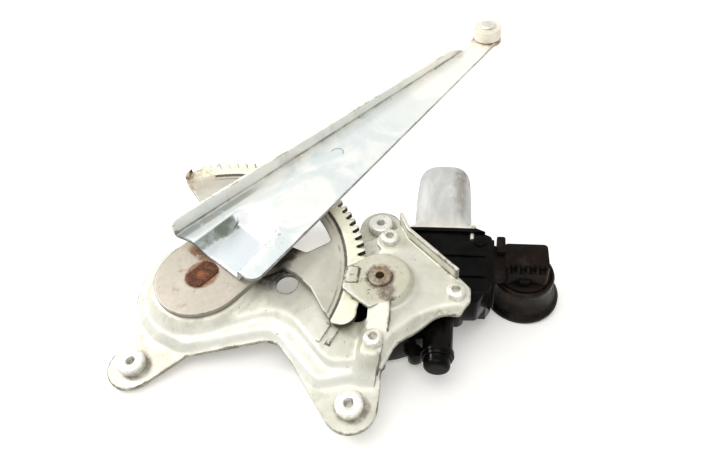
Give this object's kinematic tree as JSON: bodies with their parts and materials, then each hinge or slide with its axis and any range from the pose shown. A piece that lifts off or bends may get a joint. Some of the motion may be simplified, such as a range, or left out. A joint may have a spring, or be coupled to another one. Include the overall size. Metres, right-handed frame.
{
  "type": "window regulator",
  "caption": "Sector-gear window regulator: stamped plate, flanged lift arm with toothed sector and guide roller, worm gearbox with motor and connector.",
  "frame": {"origin": "axis of the left mounting nut, on the seating face of its lug", "axes": "+Z from the cabin to the glass, square to the plate; +X from the arm's pivot to the pinion; +Y completes the frame, roughly the way the motor points"},
  "size_m": [0.251, 0.3286, 0.0719],
  "materials": {
    "zinc_plate": "dull zinc plating with light rust",
    "zinc_yellow": "yellowed zinc plating, greased",
    "zinc_bright": "bright zinc plating",
    "steel": "plain machined steel",
    "rusty_steel": "rusted steel",
    "spring_steel": "black oiled spring steel",
    "sintered_bronze": "oil-filled sintered bronze",
    "white_plastic": "natural acetal",
    "black_plastic": "black glass-filled moulding",
    "can_steel": "drawn steel can, grey zinc",
    "laminations": "stacked electrical steel",
    "copper": "enamelled copper wire",
    "commutator_copper": "turned copper",
    "ferrite": "ferrite magnet",
    "carbon": "pressed carbon",
    "rubber_black": "moulded rubber",
    "tin": "tinned contact"
  },
  "bodies": {
    "base": {"base_plate": "zinc_plate", "mount_nuts": "zinc_bright", "pivot_bush": "white_plastic", "assist_spring": "spring_steel", "gearbox_housing": "black_plastic", "gearbox_cover": "zinc_bright", "cover_screws": "zinc_bright", "motor_screws": "zinc_bright", "shaft_bushes": "sintered_bronze", "motor_magnets": "ferrite", "motor_can": "can_steel", "can_screws": "zinc_bright", "brush_card": "black_plastic", "brushes": "carbon", "connector_shroud": "black_plastic", "terminals": "tin", "seal_bell": "rubber_black"},
    "arm": {"sector_gear": "zinc_yellow", "lift_arm": "zinc_bright", "pivot_shaft": "rusty_steel", "pivot_clip": "steel", "roller_pin": "zinc_bright"},
    "roller": {"glass_roller": "white_plastic"},
    "output": {"output_pinion": "steel", "worm_wheel": "white_plastic"},
    "armature": {"worm_shaft": "steel", "armature_core": "laminations", "armature_windings": "copper", "commutator": "commutator_copper"}
  },
  "joints": [
    {"name": "arm_pivot", "type": "hinge", "parent": "base", "child": "arm", "pos_m": [0.027, 0.0535, 0.0145], "axis": [0, 0, 1], "range_deg": [-98, 6], "deforming": ["assist_spring"]},
    {"name": "roller_spin", "type": "hinge", "parent": "arm", "child": "roller", "pos_m": [0.19284, 0.28859, 0.0325], "axis": [0, 0, 1], "continuous": true},
    {"name": "output_spin", "type": "hinge", "parent": "base", "child": "output", "pos_m": [0.132, 0.0535, 0], "axis": [0, 0, 1], "range_deg": [-60, 935]},
    {"name": "armature_spin", "type": "hinge", "parent": "base", "child": "armature", "pos_m": [0.1645, 0.0535, -0.003], "axis": [0, 1, 0], "range_deg": [-41000, 2550]}
  ],
  "couplings": [
    {"joint": "output_spin", "follows": "arm_pivot", "ratio": -9.5},
    {"joint": "armature_spin", "follows": "arm_pivot", "ratio": 418}
  ]
}
